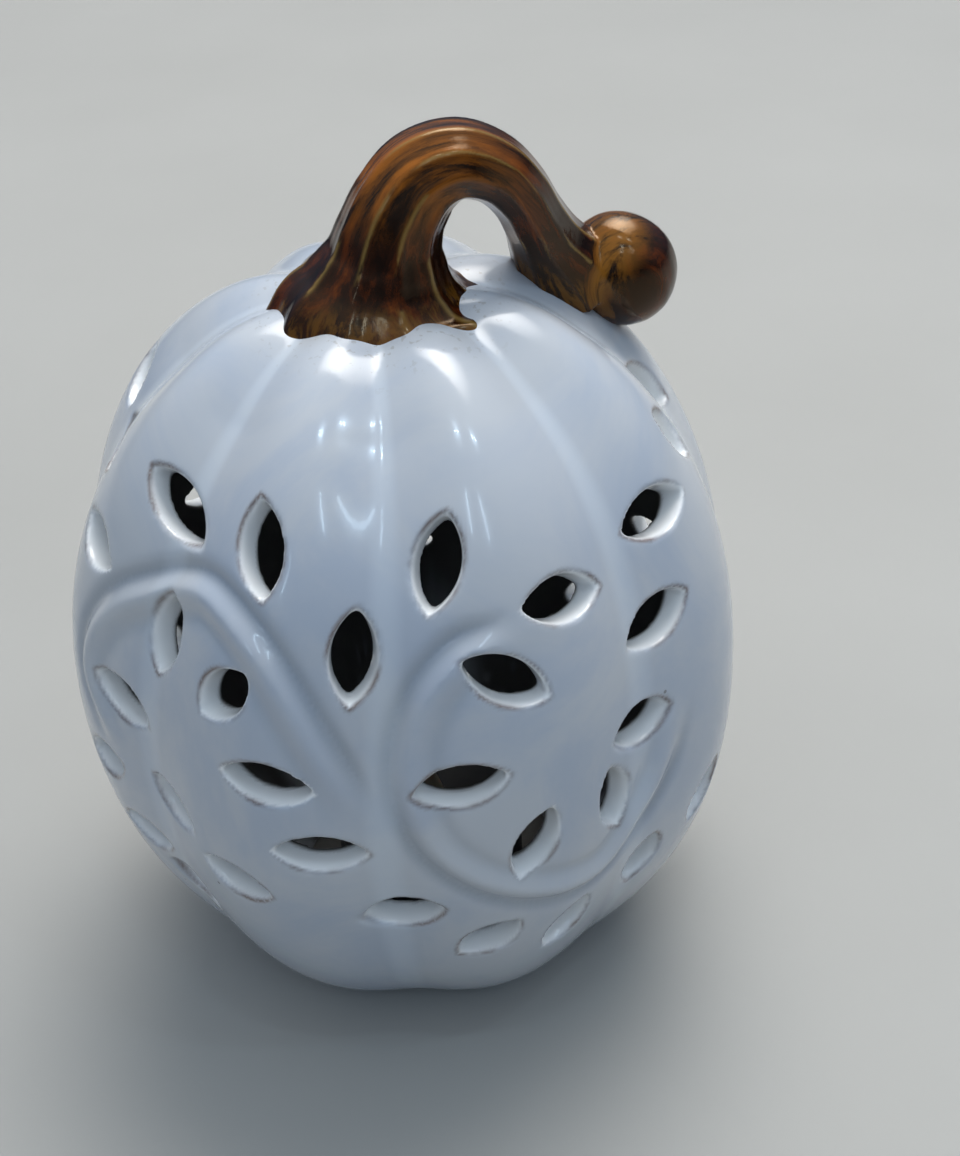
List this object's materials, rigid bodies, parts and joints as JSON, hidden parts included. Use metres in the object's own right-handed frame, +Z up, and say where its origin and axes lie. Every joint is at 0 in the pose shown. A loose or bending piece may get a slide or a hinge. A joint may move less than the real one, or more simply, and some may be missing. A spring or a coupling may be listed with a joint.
{
  "type": "ceramic pumpkin figure",
  "caption": "Hollow glazed ceramic pumpkin lantern with pierced leaves, vine lines and a curled stem, lifting off a battery tea light.",
  "frame": {"origin": "on the table under the middle of the pumpkin and of the tea light", "axes": "+Z up, -Y the front with the full leaf and vine pattern, +X the side the stem curls over to"},
  "size_m": [0.1233, 0.1235, 0.1655],
  "materials": {
    "white_glaze": "thick cool white gloss glaze, thin and brownish at cut edges",
    "brown_glaze": "mottled dark brown and amber gloss glaze, tan where it pools",
    "tea_plastic": "moulded black plastic, fine matt grain",
    "flame_plastic": "translucent cloudy soft plastic, unlit",
    "led_resin": "clear moulded resin, slightly yellow",
    "cell_steel": "bright pressed steel can",
    "contact_metal": "plated spring strip",
    "switch_steel": "folded tinned sheet",
    "switch_plastic": "moulded grey plastic",
    "screw_steel": "zinc-plated steel"
  },
  "bodies": {
    "tea_light": {"tea_housing": "tea_plastic", "tea_cap": "tea_plastic", "flame_lens": "flame_plastic", "led": "led_resin", "coin_cell": "cell_steel", "cell_top_contact": "contact_metal", "cell_side_contact": "contact_metal", "switch_frame": "switch_steel", "battery_door": "tea_plastic", "door_screw": "screw_steel"},
    "pumpkin": {"pumpkin_shell": "white_glaze", "pumpkin_stem": "brown_glaze"},
    "switch": {"switch_slider": "switch_plastic"}
  },
  "joints": [
    {"name": "pumpkin_lift", "type": "slide", "parent": "tea_light", "child": "pumpkin", "axis": [0, 0, 1], "range_m": [0, 0.2]},
    {"name": "switch_slide", "type": "slide", "parent": "tea_light", "child": "switch", "axis": [0, 1, 0], "range_m": [0, 0.003]}
  ]
}
